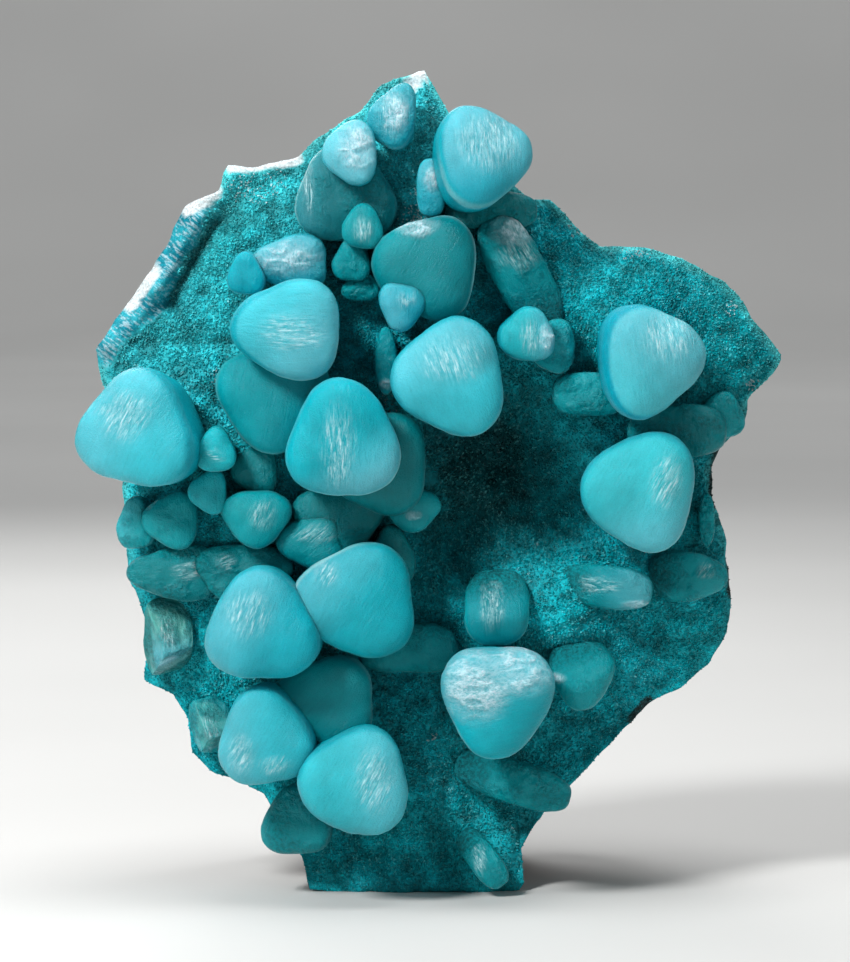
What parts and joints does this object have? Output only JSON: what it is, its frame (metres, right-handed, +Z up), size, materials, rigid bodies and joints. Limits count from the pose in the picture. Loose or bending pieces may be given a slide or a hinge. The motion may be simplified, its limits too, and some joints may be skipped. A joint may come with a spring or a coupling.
{
  "type": "smithsonite mineral specimen",
  "caption": "Turquoise curved crystals with rounded three-sided heads on a drusy crust over brown rock, standing upright on a flat foot.",
  "frame": {"origin": "middle of the bounding box in plan, on the level that the specimen stands on", "axes": "+Z up, the longest way, +X to the right seen from the front; the crystals point towards -Y, the shortest way"},
  "size_m": [0.0696, 0.0424, 0.0822],
  "materials": {
    "rock": "rough, earthy",
    "druse": "fine sparkling crystal grains",
    "crystal": "milky translucent with a silky gloss"
  },
  "bodies": {
    "root": {"matrix": "rock", "drusy_crust": "druse", "crystal_bottom_left_slab": "crystal", "crystal_broken_corner": "crystal", "crystal_broken_side": "crystal", "crystal_centre": "crystal", "crystal_centre_slender": "crystal", "crystal_foot": "crystal", "crystal_left_lower_bead": "crystal", "crystal_lower_middle": "crystal", "crystal_lower_middle_side": "crystal", "crystal_lower_middle_stalk": "crystal", "crystal_lower_right": "crystal", "crystal_right_edge": "crystal", "crystal_right_rod": "crystal", "crystal_right_sliver": "crystal", "crystal_top_tip": "crystal", "crystals_bottom_left": "crystal", "crystals_left": "crystal", "crystals_left_beads": "crystal", "crystals_left_edge": "crystal", "crystals_right_middle": "crystal", "crystals_right_upper": "crystal", "crystals_top_left": "crystal", "crystals_upper_middle": "crystal", "crystals_upper_right": "crystal"}
  },
  "joints": []
}
